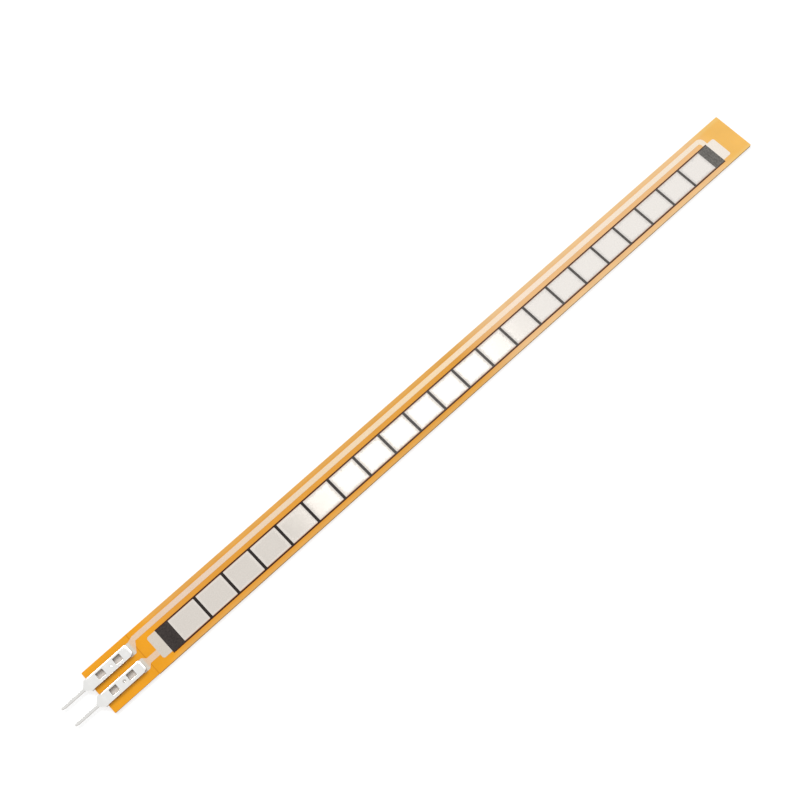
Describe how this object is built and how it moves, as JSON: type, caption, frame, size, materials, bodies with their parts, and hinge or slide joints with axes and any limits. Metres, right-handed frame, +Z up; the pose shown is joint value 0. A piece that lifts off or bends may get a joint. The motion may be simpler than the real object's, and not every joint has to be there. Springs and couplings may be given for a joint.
{
  "type": "flex sensor",
  "caption": "Thin amber film strip with a segmented printed resistor that changes resistance as it bends, with crimped solder pins at one end.",
  "frame": {"origin": "under the middle of the whole part, pins included, at the level of its flat back", "axes": "+X from the solder pins to the bare tip, +Y across the film towards the return trace, +Z up through the printed side"},
  "size_m": [0.1164, 0.0064, 0.0009],
  "materials": {
    "amber_film": "glossy translucent amber polyimide film",
    "carbon_ink": "matte screen-printed carbon",
    "silver_conductor": "matte screen-printed silver, warm where the film shows through",
    "silver_squares": "matte screen-printed silver with a fine grain",
    "tinned_contact": "bright tin plate on stamped spring metal"
  },
  "bodies": {
    "root": {"base_film": "amber_film", "back_laminate": "amber_film", "carbon_strip": "carbon_ink", "feed_print": "silver_conductor", "return_print": "silver_conductor", "silver_square_01": "silver_squares", "silver_square_02": "silver_squares", "silver_square_03": "silver_squares", "silver_square_04": "silver_squares", "silver_square_05": "silver_squares", "silver_square_06": "silver_squares", "silver_square_07": "silver_squares", "silver_square_08": "silver_squares", "silver_square_09": "silver_squares", "silver_square_10": "silver_squares", "silver_square_11": "silver_squares", "silver_square_12": "silver_squares", "silver_square_13": "silver_squares", "silver_square_14": "silver_squares", "silver_square_15": "silver_squares", "silver_square_16": "silver_squares", "silver_square_17": "silver_squares", "silver_square_18": "silver_squares", "silver_square_19": "silver_squares", "silver_square_20": "silver_squares", "silver_square_21": "silver_squares", "silver_square_22": "silver_squares", "crimp_contact_return": "tinned_contact", "crimp_contact_feed": "tinned_contact"}
  },
  "joints": []
}
